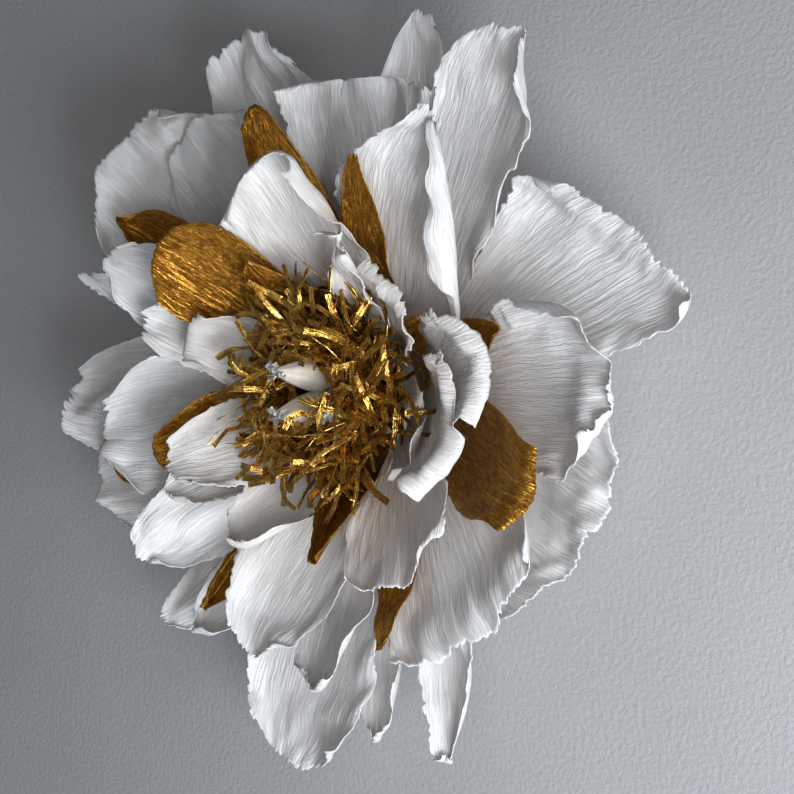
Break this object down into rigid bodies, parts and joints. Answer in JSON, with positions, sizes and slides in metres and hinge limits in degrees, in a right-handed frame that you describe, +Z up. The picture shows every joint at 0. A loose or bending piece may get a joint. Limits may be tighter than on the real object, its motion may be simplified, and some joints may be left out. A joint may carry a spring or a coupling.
{
  "type": "giant paper flower",
  "caption": "Wall-mounted giant crepe-paper flower: white petals with gold petals among them, round a fringed gold heart with pale pods.",
  "frame": {"origin": "centre of the backing disc's back face, on the wall", "axes": "+Z up, +Y into the wall, so the flower faces -Y; +X to the right as it is seen from the front"},
  "size_m": [0.4762, 0.1201, 0.4485],
  "materials": {
    "white_crepe": "matte",
    "gold_crepe": "satin",
    "gold_fringe": "satin",
    "pod_paper": "matte",
    "card": "matte"
  },
  "bodies": {
    "root": {"petal_sw_long": "white_crepe", "petal_top_point": "white_crepe", "petal_right_fan": "white_crepe", "petal_se_wide": "white_crepe", "petal_s_thin": "white_crepe", "petal_s_long": "white_crepe", "petal_w_low": "white_crepe", "petal_s_ragged": "white_crepe", "petal_w_tongue": "white_crepe", "petal_nw_thin": "white_crepe", "petal_n_left": "white_crepe", "petal_ne_tall": "white_crepe", "petal_sw_fold": "white_crepe", "petal_e_curl": "white_crepe", "petal_nw_broad": "white_crepe", "petal_s_broad": "white_crepe", "petal_n_second": "white_crepe", "petal_n_centre": "white_crepe", "gold_s_long": "gold_crepe", "gold_w_low": "gold_crepe", "gold_sw_low": "gold_crepe", "gold_e_short": "gold_crepe", "gold_nw_thin": "gold_crepe", "petal_w_flap": "white_crepe", "petal_sw_inner": "white_crepe", "petal_s_curl": "white_crepe", "petal_ssw_inner": "white_crepe", "petal_wnw_inner": "white_crepe", "gold_e_long": "gold_crepe", "gold_n_left": "gold_crepe", "petal_ne_rolled": "white_crepe", "petal_s_middle": "white_crepe", "petal_w_second": "white_crepe", "petal_sw_tip": "white_crepe", "petal_e_inner": "white_crepe", "gold_n_right": "gold_crepe", "petal_se_inner": "white_crepe", "gold_w_inner": "gold_crepe", "petal_n_inner": "white_crepe", "gold_nw_inner": "gold_crepe", "petal_sw_heart": "white_crepe", "petal_w_heart": "white_crepe", "petal_wsw_heart": "white_crepe", "gold_s_inner": "gold_crepe", "petal_e_flat": "white_crepe", "gold_e_heart": "gold_crepe", "gold_n_heart": "gold_crepe", "petal_n_hook": "white_crepe", "petal_ne_heart": "white_crepe", "backing_disc": "card", "core": "card", "fringe_1": "gold_fringe", "fringe_2": "gold_fringe", "fringe_3": "gold_fringe", "fringe_4": "gold_fringe", "fringe_5": "gold_fringe", "fringe_6": "gold_fringe", "fringe_7": "gold_fringe", "fringe_8": "gold_fringe", "pods": "pod_paper"}
  },
  "joints": []
}
